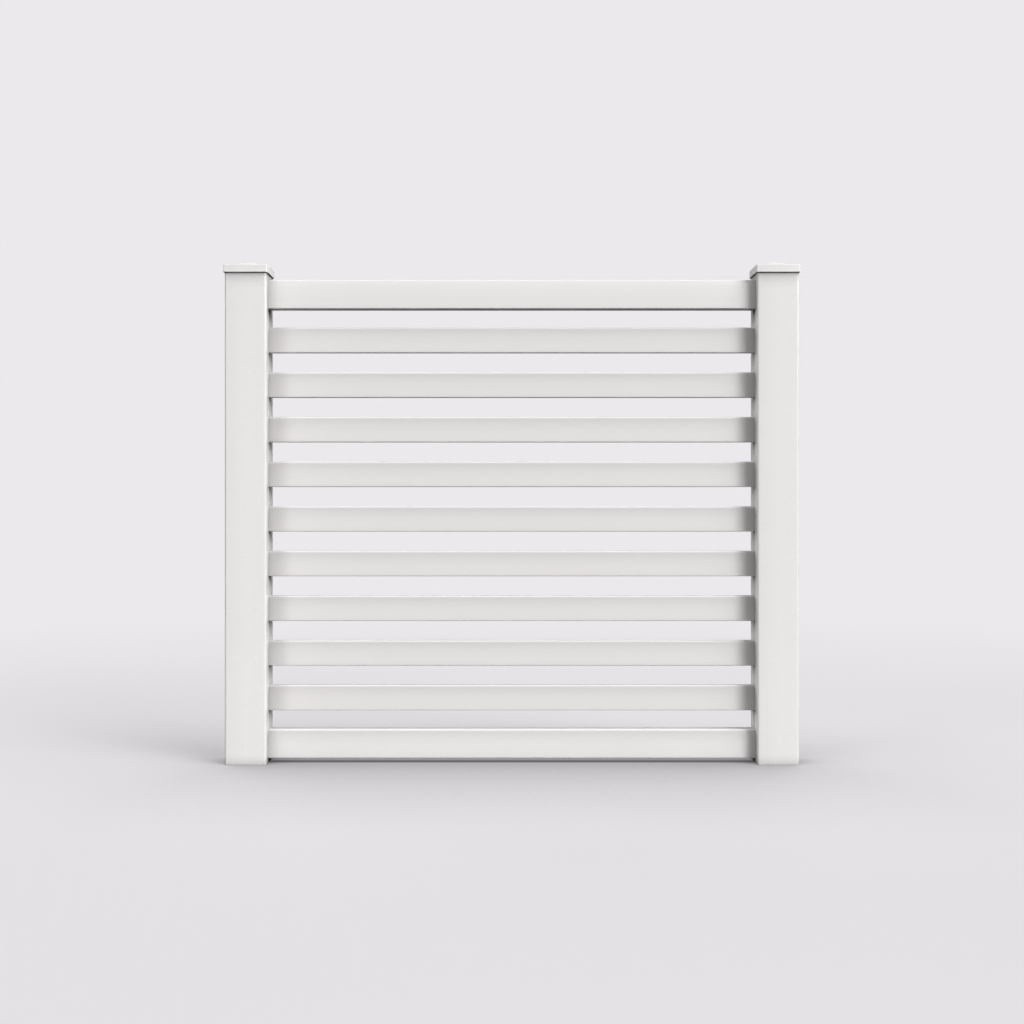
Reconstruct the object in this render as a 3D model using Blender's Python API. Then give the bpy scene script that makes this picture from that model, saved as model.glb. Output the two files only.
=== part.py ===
# One bay of a horizontal picket fence in white vinyl, carried on steel cores that stand inside its posts.
# The posts are routed on their inner faces. Two rails and nine pickets pass through the routed holes
# and snap behind the post wall with raised tabs. Moulded collars centre each post on its core.
# Metres, +Z up. The front faces -Y. The origin is on the ground, midway between the posts.

import math

import bmesh
import bpy

# Fits between neighbouring pieces
SEAT_GAP = 0.0003
ROUTED_GAP = 0.0004
CUT_OVERRUN = 0.004
LEAST_INNER_RADIUS = 0.001

# Posts
CLEAR_OPENING = 1.504
POST_SIDE = 0.127
POST_WALL = 0.0038
POST_CORNER_RADIUS = 0.0065
POST_HEIGHT = 1.524
POST_END_EASING = 0.0002

# Post caps
CAP_WALL = 0.0035
CAP_SKIRT_LAP = 0.0145
CAP_SHOULDER_ABOVE_POST = 0.0081
CAP_RISE = 0.017
CAP_EDGE_RADIUS = 0.002
CAP_HEM_CHAMFER = 0.0006

# Rails
RAIL_DEPTH = 0.0508
RAIL_HEIGHT = 0.0889
RAIL_WALL = 0.0023
RAIL_EDGE_RADIUS = 0.004
RAIL_DISH = 0.0009
TOP_RAIL_CROWN_RADIUS = 0.010
TOP_RAIL_DROP = 0.0329
RAIL_END_CLEARANCE = 0.006

# Rail stiffeners
STIFFENER_THICKNESS = 0.0016
STIFFENER_HEIGHT = 0.038
STIFFENER_INNER_BEND = 0.0014
STIFFENER_END_INSET = 0.005

# Drain holes in the bottom rail
DRAIN_RADIUS = 0.004
DRAIN_SPACING = 0.4
DRAIN_COUNT = 4

# Pickets
PICKET_COUNT = 9
PICKET_DEPTH = 0.0222
PICKET_HEIGHT = 0.0785
PICKET_WALL = 0.0018
PICKET_EDGE_RADIUS = 0.0045
PICKET_DISH = 0.0012
RAIL_TO_PICKET_GAP = 0.0565

# Snap tabs on the ends of the rails and pickets
TAB_RISE = 0.0016
TAB_TIP_RISE = 0.0002
TAB_LENGTH = 0.008
TAB_HEIGHT = 0.014

# Base plates
PLATE_THICKNESS = 0.0095
PLATE_TO_POST = 0.0042
PLATE_CORNER_RADIUS = 0.008
PLATE_HOLE_RADIUS = 0.00525
PLATE_HOLE_INSET = 0.0143
PLATE_TO_RAIL = 0.0046

# Core tubes and their welds
CORE_SIDE = 0.0508
CORE_WALL = 0.003
CORE_CORNER_RADIUS = 0.006
CORE_ABOVE_COLLAR = 0.075
WELD_LEG = 0.004
WELD_THROAT_SHARE = 0.58

# Collars
COLLAR_WALL = 0.003
COLLAR_RIM_HEIGHT = 0.025
COLLAR_NECK_HEIGHT = 0.016
COLLAR_RIB_THICKNESS = 0.0025
COLLAR_RIB_OFFSET = 0.014
COLLAR_RIB_DROP = 0.004

# Collar screws
SCREW_RADIUS = 0.0024
SCREW_LENGTH = 0.016
SCREW_POINT = 0.004
SCREW_WASHER_RADIUS = 0.0055
SCREW_WASHER_THICKNESS = 0.001
SCREW_HEX_APOTHEM = 0.004
SCREW_HEAD_HEIGHT = 0.0048
SCREW_TIP_SHARE = 0.25

# Steps that make arcs
CORNER_STEPS = 4
INNER_CORNER_STEPS = 2
FACE_STEPS = 6
HOLE_STEPS = 12

# Levels and places that follow from the sizes above
POST_X = (CLEAR_OPENING + POST_SIDE) / 2
BOTTOM_RAIL_FOOT = PLATE_THICKNESS + PLATE_TO_RAIL
BOTTOM_RAIL_TOP = BOTTOM_RAIL_FOOT + RAIL_HEIGHT
TOP_RAIL_TOP = POST_HEIGHT - TOP_RAIL_DROP
TOP_RAIL_FOOT = TOP_RAIL_TOP - RAIL_HEIGHT
LOWEST_PICKET = BOTTOM_RAIL_TOP + RAIL_TO_PICKET_GAP + PICKET_HEIGHT / 2
HIGHEST_PICKET = TOP_RAIL_FOOT - RAIL_TO_PICKET_GAP - PICKET_HEIGHT / 2
PICKET_PITCH = (HIGHEST_PICKET - LOWEST_PICKET) / (PICKET_COUNT - 1)
PICKET_LEVELS = [HIGHEST_PICKET - PICKET_PITCH * i for i in range(PICKET_COUNT)]
RAIL_ENGAGEMENT = (POST_SIDE - CORE_SIDE) / 2 - WELD_LEG - RAIL_END_CLEARANCE
RAIL_LENGTH = CLEAR_OPENING + 2 * RAIL_ENGAGEMENT
SKIRT_FOOT = POST_HEIGHT - CAP_SKIRT_LAP
COLLAR_HEIGHT = COLLAR_RIM_HEIGHT + COLLAR_NECK_HEIGHT
LOWER_COLLAR_FOOT = BOTTOM_RAIL_TOP + (RAIL_TO_PICKET_GAP - COLLAR_RIM_HEIGHT) / 2
MIDDLE_PICKET = PICKET_LEVELS[PICKET_COUNT // 2]
UPPER_COLLAR_FOOT = MIDDLE_PICKET + (PICKET_PITCH - COLLAR_RIM_HEIGHT) / 2
SCREW_ABOVE_COLLAR_FOOT = COLLAR_RIM_HEIGHT + COLLAR_NECK_HEIGHT / 2
CORE_FOOT = PLATE_THICKNESS + SEAT_GAP
CORE_TOP = UPPER_COLLAR_FOOT + COLLAR_HEIGHT + CORE_ABOVE_COLLAR


# Clearing the scene
def clear_scene():
    for obj in list(bpy.data.objects):
        bpy.data.objects.remove(obj, do_unlink=True)


# Materials
def make_material(name, colour, roughness, metallic=0.0):
    material = bpy.data.materials.new(name)
    material.use_nodes = True
    shader = material.node_tree.nodes["Principled BSDF"]
    shader.inputs["Base Color"].default_value = (*colour, 1.0)
    shader.inputs["Roughness"].default_value = roughness
    shader.inputs["Metallic"].default_value = metallic
    material.diffuse_color = (*colour, 1.0)
    return material


# Ways to lay a section's point (u, v) and a distance w along the extrusion in space
def along_x(u, v, w):
    return (w, u, v)


def along_y(u, v, w):
    return (u, w, v)


def along_z(u, v, w):
    return (u, v, w)


# Loops of points
def arc(centre_u, centre_v, radius, quarter, steps):
    turns = [(quarter + step / steps) * math.pi / 2 for step in range(steps + 1)]
    return [(centre_u + radius * math.cos(turn), centre_v + radius * math.sin(turn)) for turn in turns]


def circle(centre_u, centre_v, radius):
    turns = [2 * math.pi * step / HOLE_STEPS for step in range(HOLE_STEPS)]
    return [(centre_u + radius * math.cos(turn), centre_v + radius * math.sin(turn)) for turn in turns]


def rounded_square(half, radius):
    inset = half - radius
    loop = []
    for quarter, (side_u, side_v) in enumerate(((1, 1), (-1, 1), (-1, -1), (1, -1))):
        loop += arc(side_u * inset, side_v * inset, radius, quarter, CORNER_STEPS)
    return loop


def section_loop(low, high, low_radius, high_radius, half_depth, corner_steps, face_steps):
    """A loop between the levels low and high, whose front and back lie half_depth(level) from the middle."""
    foot, head = low + low_radius, high - high_radius
    loop = arc(half_depth(foot) - low_radius, foot, low_radius, -1, corner_steps)
    levels = [foot + (head - foot) * step / face_steps for step in range(1, face_steps)]
    loop += [(half_depth(level), level) for level in levels]
    loop += arc(half_depth(head) - high_radius, head, high_radius, 0, corner_steps)
    loop += arc(high_radius - half_depth(head), head, high_radius, 1, corner_steps)
    loop += [(-half_depth(level), level) for level in reversed(levels)]
    loop += arc(low_radius - half_depth(foot), foot, low_radius, 2, corner_steps)
    return loop


def hollow_section(depth, height, wall, dish, low_radius, high_radius, web_levels=()):
    """The outline of a dished hollow extrusion, then a loop for each hollow between its webs."""
    low, high = -height / 2, height / 2
    middle = (low + low_radius + high - high_radius) / 2
    reach = high - high_radius - middle

    def outer(level):
        share = min(abs(level - middle) / reach, 1)
        return depth / 2 - dish * (1 - share**2)

    def inner(level):
        return outer(level) - wall

    feet = [low + wall] + [level + wall / 2 for level in web_levels]
    heads = [level - wall / 2 for level in web_levels] + [high - wall]
    foot_radii = [max(low_radius - wall, LEAST_INNER_RADIUS)] + [LEAST_INNER_RADIUS] * len(web_levels)
    head_radii = [LEAST_INNER_RADIUS] * len(web_levels) + [max(high_radius - wall, LEAST_INNER_RADIUS)]
    loops = [section_loop(low, high, low_radius, high_radius, outer, CORNER_STEPS, FACE_STEPS)]
    for foot, head, foot_radius, head_radius in zip(feet, heads, foot_radii, head_radii):
        loops.append(section_loop(foot, head, foot_radius, head_radius, inner, INNER_CORNER_STEPS, 2))
    return loops


# Meshes
def add_prism(bm, loops, stations, lay):
    """The first loop extruded through the stations, with the other loops as holes right through it."""
    rims = {0: [], len(stations) - 1: []}
    for loop in loops:
        rings = [[bm.verts.new(lay(u, v, w)) for u, v in loop] for w in stations]
        followers = list(range(1, len(loop))) + [0]
        for lower, upper in zip(rings, rings[1:]):
            for here, after in enumerate(followers):
                bm.faces.new((lower[here], lower[after], upper[after], upper[here]))
        for end, edges in rims.items():
            ring = rings[end]
            edges += [bm.edges.get((ring[here], ring[after])) for here, after in enumerate(followers)]
    for edges in rims.values():
        bmesh.ops.triangle_fill(bm, edges=edges, use_beauty=True)


def add_stack(bm, rings, closed=False):
    """Rings of equal counts of points, bridged in turn. The ends are filled, or bridged together if closed."""
    made = [[bm.verts.new(point) for point in ring] for ring in rings]
    pairs = list(zip(made, made[1:]))
    if closed:
        pairs.append((made[-1], made[0]))
    count = len(made[0])
    for lower, upper in pairs:
        for here in range(count):
            after = (here + 1) % count
            bm.faces.new((lower[here], lower[after], upper[after], upper[here]))
    if not closed:
        for ring in (made[0], made[-1]):
            bm.faces.new(ring)


def square_ring(half, radius, level):
    return [(u, v, level) for u, v in rounded_square(half, radius)]


def finish_mesh(bm, name, material):
    bmesh.ops.recalc_face_normals(bm, faces=bm.faces)
    mesh = bpy.data.meshes.new(name)
    bm.to_mesh(mesh)
    bm.free()
    mesh.materials.append(material)
    return mesh


def combine(mesh, tool_mesh, operation):
    """The mesh after a Boolean union with, or cut by, the tool's mesh."""
    body = place("body", mesh)
    tool = place("tool", tool_mesh)
    modifier = body.modifiers.new("combine", "BOOLEAN")
    modifier.operation = operation
    modifier.solver = "EXACT"
    modifier.object = tool
    depsgraph = bpy.context.evaluated_depsgraph_get()
    result = bpy.data.meshes.new_from_object(body.evaluated_get(depsgraph))
    result.name = mesh.name + "_shaped"
    for obj in (body, tool):
        bpy.data.objects.remove(obj, do_unlink=True)
    return result


def place(name, mesh, parent=None, level=0, turn=0):
    obj = bpy.data.objects.new(name, mesh)
    bpy.context.scene.collection.objects.link(obj)
    obj.parent = parent
    obj.location.z = level
    obj.rotation_euler.z = turn
    return obj


def shade(mesh):
    mesh.shade_smooth()
    mesh.set_sharp_from_angle(angle=math.radians(32))


# Routed holes for the rails and pickets, as one tool in the post's own place
def routed_hole_tool(material):
    bm = bmesh.new()
    wall_inside = POST_SIDE / 2 - POST_WALL
    stations = (wall_inside - CUT_OVERRUN, POST_SIDE / 2 + CUT_OVERRUN)
    rail_low, rail_crown = RAIL_EDGE_RADIUS + ROUTED_GAP, TOP_RAIL_CROWN_RADIUS + ROUTED_GAP
    picket_radius = PICKET_EDGE_RADIUS + ROUTED_GAP
    holes = [
        (BOTTOM_RAIL_FOOT, BOTTOM_RAIL_TOP, RAIL_DEPTH, rail_low, rail_low),
        (TOP_RAIL_FOOT, TOP_RAIL_TOP, RAIL_DEPTH, rail_low, rail_crown),
    ]
    for level in PICKET_LEVELS:
        foot, head = level - PICKET_HEIGHT / 2, level + PICKET_HEIGHT / 2
        holes.append((foot, head, PICKET_DEPTH, picket_radius, picket_radius))
    for foot, head, depth, low_radius, high_radius in holes:
        half = depth / 2 + ROUTED_GAP
        low, high = foot - ROUTED_GAP, head + ROUTED_GAP
        loop = section_loop(low, high, low_radius, high_radius, lambda level: half, CORNER_STEPS, 1)
        add_prism(bm, [loop], stations, along_x)
    return finish_mesh(bm, "routed_hole_tool", material)


# Post, open at both ends, with its routed face towards +X and its top end eased inside the cap's skirt
def post_mesh(material):
    half_out = POST_SIDE / 2
    half_in = half_out - POST_WALL
    inner_radius = max(POST_CORNER_RADIUS - POST_WALL, LEAST_INNER_RADIUS)
    rings = [
        square_ring(half_in, inner_radius, 0),
        square_ring(half_out, POST_CORNER_RADIUS, 0),
        square_ring(half_out, POST_CORNER_RADIUS, SKIRT_FOOT - SEAT_GAP),
        square_ring(half_out - POST_END_EASING, POST_CORNER_RADIUS, POST_HEIGHT),
        square_ring(half_in, inner_radius, POST_HEIGHT),
    ]
    bm = bmesh.new()
    add_stack(bm, rings, closed=True)
    tube = finish_mesh(bm, "post", material)
    return combine(tube, routed_hole_tool(material), "DIFFERENCE")


# Cap, with a skirt outside the post, a stop that sits on its top and a low hollow pyramid
def cap_mesh(material):
    half_in = POST_SIDE / 2 + SEAT_GAP
    half_out = half_in + CAP_WALL
    radius_in = POST_CORNER_RADIUS + SEAT_GAP
    radius_out = radius_in + CAP_WALL
    shoulder = POST_HEIGHT + CAP_SHOULDER_ABOVE_POST
    roof_half = half_out - CAP_EDGE_RADIUS
    stop = POST_HEIGHT + SEAT_GAP
    stop_half = POST_SIDE / 2 - POST_WALL
    tip_half = CAP_EDGE_RADIUS

    def roof(half):
        return shoulder + CAP_RISE * (1 - half / roof_half)

    def shared_radius(half):
        return radius_out * half / half_out

    under_stop = roof(stop_half) - CAP_WALL
    rings = [
        square_ring(tip_half, shared_radius(tip_half), roof(tip_half) - CAP_WALL),
        square_ring(stop_half, shared_radius(stop_half), under_stop),
        square_ring(stop_half, shared_radius(stop_half), stop),
        square_ring(half_in, radius_in, stop),
        square_ring(half_in, radius_in, SKIRT_FOOT),
        square_ring(half_out - CAP_HEM_CHAMFER, radius_out - CAP_HEM_CHAMFER, SKIRT_FOOT),
        square_ring(half_out, radius_out, SKIRT_FOOT + CAP_HEM_CHAMFER),
    ]
    for inset, level in arc(-CAP_EDGE_RADIUS, shoulder - CAP_EDGE_RADIUS, CAP_EDGE_RADIUS, 0, CORNER_STEPS):
        rings.append(square_ring(half_out + inset, radius_out + inset, level))
    rings.append(square_ring(tip_half, shared_radius(tip_half), roof(tip_half)))
    bm = bmesh.new()
    add_stack(bm, rings)
    return finish_mesh(bm, "post_cap", material)


# Snap tabs for both ends and both faces of a rail or picket
def tab_tool(depth, wall, dish, material):
    bm = bmesh.new()
    shoulder = CLEAR_OPENING / 2 + POST_WALL + ROUTED_GAP
    root = depth / 2 - dish - wall / 2
    edge = depth / 2 + ROUTED_GAP
    for end in (-1, 1):
        for face in (-1, 1):
            near, far = end * shoulder, end * (shoulder + TAB_LENGTH)
            loop = [
                (near, face * root),
                (far, face * root),
                (far, face * (edge + TAB_TIP_RISE)),
                (near, face * (edge + TAB_RISE)),
            ]
            add_prism(bm, [loop], (-TAB_HEIGHT / 2, TAB_HEIGHT / 2), along_z)
    return finish_mesh(bm, "tab_tool", material)


# Drain holes through the bottom rail's foot and the stiffener that lies on it
def drain_tool(level, material):
    bm = bmesh.new()
    first = -DRAIN_SPACING * (DRAIN_COUNT - 1) / 2
    reach = RAIL_WALL + STIFFENER_THICKNESS + CUT_OVERRUN
    for index in range(DRAIN_COUNT):
        hole = circle(first + DRAIN_SPACING * index, 0, DRAIN_RADIUS)
        add_prism(bm, [hole], (level - CUT_OVERRUN, level + reach), along_z)
    return finish_mesh(bm, "drain_tool", material)


# Rail, centred on its own middle, with its hollow open at both ends
def rail_mesh(name, crown_radius, material):
    bm = bmesh.new()
    loops = hollow_section(RAIL_DEPTH, RAIL_HEIGHT, RAIL_WALL, RAIL_DISH, RAIL_EDGE_RADIUS, crown_radius)
    add_prism(bm, loops, (-RAIL_LENGTH / 2, RAIL_LENGTH / 2), along_x)
    rail = finish_mesh(bm, name, material)
    return combine(rail, tab_tool(RAIL_DEPTH, RAIL_WALL, RAIL_DISH, material), "UNION")


# Stiffener, a folded channel that lies on the floor of a rail's hollow, in the rail's own place
def stiffener_mesh(name, material):
    outer_half = RAIL_DEPTH / 2 - RAIL_DISH - RAIL_WALL - SEAT_GAP
    inner_half = outer_half - STIFFENER_THICKNESS
    floor = RAIL_WALL + SEAT_GAP - RAIL_HEIGHT / 2
    head = floor + STIFFENER_HEIGHT
    inner_bend, bend = STIFFENER_INNER_BEND, STIFFENER_INNER_BEND + STIFFENER_THICKNESS
    bend_level = floor + bend
    loop = arc(bend - outer_half, bend_level, bend, 2, CORNER_STEPS)
    loop += arc(outer_half - bend, bend_level, bend, 3, CORNER_STEPS)
    loop += [(outer_half, head), (inner_half, head)]
    loop += reversed(arc(outer_half - bend, bend_level, inner_bend, 3, CORNER_STEPS))
    loop += reversed(arc(bend - outer_half, bend_level, inner_bend, 2, CORNER_STEPS))
    loop += [(-inner_half, head), (-outer_half, head)]
    bm = bmesh.new()
    half_length = RAIL_LENGTH / 2 - STIFFENER_END_INSET
    add_prism(bm, [loop], (-half_length, half_length), along_x)
    return finish_mesh(bm, name, material)


# Picket, centred on its own middle, with two hollows either side of one web
def picket_mesh(material):
    bm = bmesh.new()
    radius = PICKET_EDGE_RADIUS
    loops = hollow_section(PICKET_DEPTH, PICKET_HEIGHT, PICKET_WALL, PICKET_DISH, radius, radius, (0,))
    add_prism(bm, loops, (-RAIL_LENGTH / 2, RAIL_LENGTH / 2), along_x)
    picket = finish_mesh(bm, "picket", material)
    return combine(picket, tab_tool(PICKET_DEPTH, PICKET_WALL, PICKET_DISH, material), "UNION")


# Base plate with four bolt holes, its underside on the ground
def plate_mesh(material):
    half = POST_SIDE / 2 - POST_WALL - PLATE_TO_POST
    hole_place = half - PLATE_HOLE_INSET
    loops = [rounded_square(half, PLATE_CORNER_RADIUS)]
    for side_u in (-1, 1):
        for side_v in (-1, 1):
            loops.append(circle(side_u * hole_place, side_v * hole_place, PLATE_HOLE_RADIUS))
    bm = bmesh.new()
    add_prism(bm, loops, (0, PLATE_THICKNESS), along_z)
    return finish_mesh(bm, "base_plate", material)


# Bores for the collar screws, through a collar's neck and the core's front and back walls
def screw_bore_tool(levels, material):
    bm = bmesh.new()
    near = CORE_SIDE / 2 - CORE_WALL - CUT_OVERRUN
    far = CORE_SIDE / 2 + SEAT_GAP + COLLAR_WALL + CUT_OVERRUN
    for level in levels:
        for face in (-1, 1):
            add_prism(bm, [circle(0, level, SCREW_RADIUS + SEAT_GAP)], (face * near, face * far), along_y)
    return finish_mesh(bm, "screw_bore_tool", material)


# Core tube, welded upright on the plate
def core_mesh(material):
    bm = bmesh.new()
    outer = rounded_square(CORE_SIDE / 2, CORE_CORNER_RADIUS)
    inner_radius = max(CORE_CORNER_RADIUS - CORE_WALL, LEAST_INNER_RADIUS)
    inner = rounded_square(CORE_SIDE / 2 - CORE_WALL, inner_radius)
    add_prism(bm, [outer, inner], (CORE_FOOT, CORE_TOP), along_z)
    tube = finish_mesh(bm, "core_tube", material)
    levels = [foot + SCREW_ABOVE_COLLAR_FOOT for foot in (LOWER_COLLAR_FOOT, UPPER_COLLAR_FOOT)]
    return combine(tube, screw_bore_tool(levels, material), "DIFFERENCE")


# Fillet weld all round the foot of the core tube
def weld_mesh(material):
    half = CORE_SIDE / 2 + SEAT_GAP
    radius = CORE_CORNER_RADIUS + SEAT_GAP
    corners = ((0, 0), (WELD_LEG, 0), (WELD_LEG * WELD_THROAT_SHARE, WELD_LEG * WELD_THROAT_SHARE), (0, WELD_LEG))
    bm = bmesh.new()
    add_stack(bm, [square_ring(half + out, radius + out, CORE_FOOT + up) for out, up in corners], closed=True)
    return finish_mesh(bm, "core_weld", material)


# Collar, a moulded tray with a neck round the core and a rim inside the post, standing on its own foot
def collar_mesh(material):
    neck_in = CORE_SIDE / 2 + SEAT_GAP
    neck_out = neck_in + COLLAR_WALL
    rim_out = POST_SIDE / 2 - POST_WALL - SEAT_GAP
    rim_in = rim_out - COLLAR_WALL
    neck_radius = CORE_CORNER_RADIUS + SEAT_GAP
    rim_radius = max(POST_CORNER_RADIUS - POST_WALL - SEAT_GAP, LEAST_INNER_RADIUS)
    rim_inner_radius = max(rim_radius - COLLAR_WALL, LEAST_INNER_RADIUS)
    rings = [
        square_ring(neck_in, neck_radius, 0),
        square_ring(rim_out, rim_radius, 0),
        square_ring(rim_out, rim_radius, COLLAR_RIM_HEIGHT),
        square_ring(rim_in, rim_inner_radius, COLLAR_RIM_HEIGHT),
        square_ring(rim_in, rim_inner_radius, COLLAR_WALL),
        square_ring(neck_out, neck_radius + COLLAR_WALL, COLLAR_WALL),
        square_ring(neck_out, neck_radius + COLLAR_WALL, COLLAR_HEIGHT),
        square_ring(neck_in, neck_radius, COLLAR_HEIGHT),
    ]
    bm = bmesh.new()
    add_stack(bm, rings, closed=True)
    tray = finish_mesh(bm, "collar", material)
    ribbed = combine(tray, collar_rib_tool(neck_out, rim_in, material), "UNION")
    return combine(ribbed, screw_bore_tool([SCREW_ABOVE_COLLAR_FOOT], material), "DIFFERENCE")


def collar_rib_tool(neck_out, rim_in, material):
    bm = bmesh.new()
    near, far = neck_out - COLLAR_WALL / 2, rim_in + COLLAR_WALL / 2
    stations = (COLLAR_WALL / 2, COLLAR_RIM_HEIGHT - COLLAR_RIB_DROP)
    for side in (-1, 1):
        for offset in (-COLLAR_RIB_OFFSET, COLLAR_RIB_OFFSET):
            low, high = offset - COLLAR_RIB_THICKNESS / 2, offset + COLLAR_RIB_THICKNESS / 2
            rib = [(side * near, low), (side * far, low), (side * far, high), (side * near, high)]
            turned_rib = [(v, u) for u, v in rib]
            add_prism(bm, [rib], stations, along_z)
            add_prism(bm, [turned_rib], stations, along_z)
    return finish_mesh(bm, "collar_rib_tool", material)


# Screw with a hexagon washer head, its head outwards along +Y, in the core's own place but level with zero
def screw_mesh(material):
    seat = CORE_SIDE / 2 + SEAT_GAP + COLLAR_WALL + SEAT_GAP
    washer_top = seat + SCREW_WASHER_THICKNESS
    turns = [2 * math.pi * step / HOLE_STEPS for step in range(HOLE_STEPS)]

    def round_ring(reach, radius):
        return [(radius * math.cos(turn), reach, radius * math.sin(turn)) for turn in turns]

    def hexagon_ring(reach):
        corner = math.pi / 3
        radii = [SCREW_HEX_APOTHEM / math.cos((turn % corner) - corner / 2) for turn in turns]
        return [(radius * math.cos(turn), reach, radius * math.sin(turn)) for radius, turn in zip(radii, turns)]

    bm = bmesh.new()
    rings = [
        round_ring(seat - SCREW_LENGTH, SCREW_RADIUS * SCREW_TIP_SHARE),
        round_ring(seat - SCREW_LENGTH + SCREW_POINT, SCREW_RADIUS),
        round_ring(seat, SCREW_RADIUS),
        round_ring(seat, SCREW_WASHER_RADIUS),
        round_ring(washer_top, SCREW_WASHER_RADIUS),
        hexagon_ring(washer_top),
        hexagon_ring(seat + SCREW_HEAD_HEIGHT),
    ]
    add_stack(bm, rings)
    return finish_mesh(bm, "collar_screw", material)


# The fence, put together
def build():
    clear_scene()
    vinyl = make_material("extruded_vinyl", (0.80, 0.79, 0.78), 0.38)
    moulded = make_material("moulded_cap_vinyl", (0.82, 0.81, 0.81), 0.32)
    galvanised = make_material("galvanised_steel", (0.55, 0.56, 0.57), 0.45, 1.0)
    weld = make_material("weld_metal", (0.36, 0.35, 0.34), 0.55, 1.0)
    nylon = make_material("black_nylon", (0.03, 0.03, 0.032), 0.5)
    zinc = make_material("zinc_plated_steel", (0.62, 0.62, 0.60), 0.35, 1.0)

    side_meshes = {
        "post": post_mesh(vinyl),
        "post_cap": cap_mesh(moulded),
        "base_plate": plate_mesh(galvanised),
        "core_tube": core_mesh(galvanised),
        "core_weld": weld_mesh(weld),
    }
    collar = collar_mesh(nylon)
    screw = screw_mesh(zinc)
    picket = picket_mesh(vinyl)
    top_rail = rail_mesh("top_rail", TOP_RAIL_CROWN_RADIUS, vinyl)
    plain_rail = rail_mesh("bottom_rail", RAIL_EDGE_RADIUS, vinyl)
    bottom_rail = combine(plain_rail, drain_tool(-RAIL_HEIGHT / 2, vinyl), "DIFFERENCE")
    stiffener = stiffener_mesh("stiffener", galvanised)
    drained = combine(stiffener, drain_tool(-RAIL_HEIGHT / 2, galvanised), "DIFFERENCE")
    for mesh in (*side_meshes.values(), collar, screw, picket, top_rail, bottom_rail, stiffener, drained):
        shade(mesh)

    fence = place("fence", None)
    for side, direction in (("left", -1), ("right", 1)):
        carrier = place(side + "_side", None, fence)
        carrier.location.x = direction * POST_X
        carrier.rotation_euler.z = 0 if direction < 0 else math.pi
        for name, mesh in side_meshes.items():
            place(f"{side}_{name}", mesh, carrier)
        for tier, foot in (("lower", LOWER_COLLAR_FOOT), ("upper", UPPER_COLLAR_FOOT)):
            place(f"{side}_{tier}_collar", collar, carrier, foot)
            place(f"{side}_{tier}_screw_1", screw, carrier, foot + SCREW_ABOVE_COLLAR_FOOT)
            place(f"{side}_{tier}_screw_2", screw, carrier, foot + SCREW_ABOVE_COLLAR_FOOT, math.pi)

    top_level = (TOP_RAIL_FOOT + TOP_RAIL_TOP) / 2
    bottom_level = (BOTTOM_RAIL_FOOT + BOTTOM_RAIL_TOP) / 2
    place("top_rail", top_rail, fence, top_level)
    place("top_rail_stiffener", stiffener, fence, top_level)
    place("bottom_rail", bottom_rail, fence, bottom_level)
    place("bottom_rail_stiffener", drained, fence, bottom_level)
    for number, level in enumerate(PICKET_LEVELS, start=1):
        place(f"picket_{number}", picket, fence, level)


build()
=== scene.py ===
# %% [markdown]
# A bay of horizontal picket fence in white vinyl. The fence is two hollow posts with caps, two rails and
# nine pickets, all extruded or moulded in rigid PVC, with steel cores hidden in the posts. The solids come
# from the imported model, which fixes every size and place. This lesson gives the vinyl finer surfaces, and
# then adds the finishes, the light and the camera.

# %% Load the frame
import math

import bmesh
import bpy
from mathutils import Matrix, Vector


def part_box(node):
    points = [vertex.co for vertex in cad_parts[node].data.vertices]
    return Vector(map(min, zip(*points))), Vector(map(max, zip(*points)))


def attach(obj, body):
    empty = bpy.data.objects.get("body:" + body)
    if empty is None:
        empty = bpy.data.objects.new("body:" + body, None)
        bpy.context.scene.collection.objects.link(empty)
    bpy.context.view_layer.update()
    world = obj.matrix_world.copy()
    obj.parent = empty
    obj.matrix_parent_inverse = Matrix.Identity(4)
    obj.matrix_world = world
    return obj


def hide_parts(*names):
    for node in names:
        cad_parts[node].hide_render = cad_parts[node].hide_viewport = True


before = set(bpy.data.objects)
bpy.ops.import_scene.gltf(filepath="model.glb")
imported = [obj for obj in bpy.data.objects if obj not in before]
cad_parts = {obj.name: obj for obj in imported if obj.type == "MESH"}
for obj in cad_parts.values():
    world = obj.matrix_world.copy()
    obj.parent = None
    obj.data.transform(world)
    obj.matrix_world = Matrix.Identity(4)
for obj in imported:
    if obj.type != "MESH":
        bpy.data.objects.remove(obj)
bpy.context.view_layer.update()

print("solids:", len(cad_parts))

# %% [markdown]
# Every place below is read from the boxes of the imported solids, so that the surfaces follow the solids if
# those ever change. A box doesn't tell how thick a wall is, and a rail's box includes the snap tabs that
# are hidden in the posts. The thickness of the walls and the visible depth of rails and pickets are
# therefore given here, as the extruder's drawing would give them.

# %% Read the sizes
MILLIMETRE = 0.001
RAIL_DEPTH = 50.8 * MILLIMETRE
PICKET_DEPTH = 22.2 * MILLIMETRE
POST_WALL = 3.8 * MILLIMETRE
RAIL_WALL = 2.3 * MILLIMETRE
PICKET_WALL = 1.8 * MILLIMETRE
ROUTED_GAP = 0.4 * MILLIMETRE
PICKETS = [f"picket_{number}" for number in range(1, 10)]
SIDES = {"left": -1, "right": 1}

post_low, post_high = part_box("right_post")
post_side = post_high.x - post_low.x
post_middle_x = (post_low.x + post_high.x) / 2
clear_opening = 2 * post_low.x
member_half_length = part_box("top_rail")[1].x
print(f"post {post_side * 1000:.1f} mm square, clear opening {clear_opening * 1000:.0f} mm")

# %% [markdown]
# Colours are written as sRGB hex, as a paint chart gives them, and turned to linear light in one place.
# One function adds a shader node, with its settings and with numbers or links for its inputs. It works
# for every kind of node, so that a material below reads as a short list of what it is made of.


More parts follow.
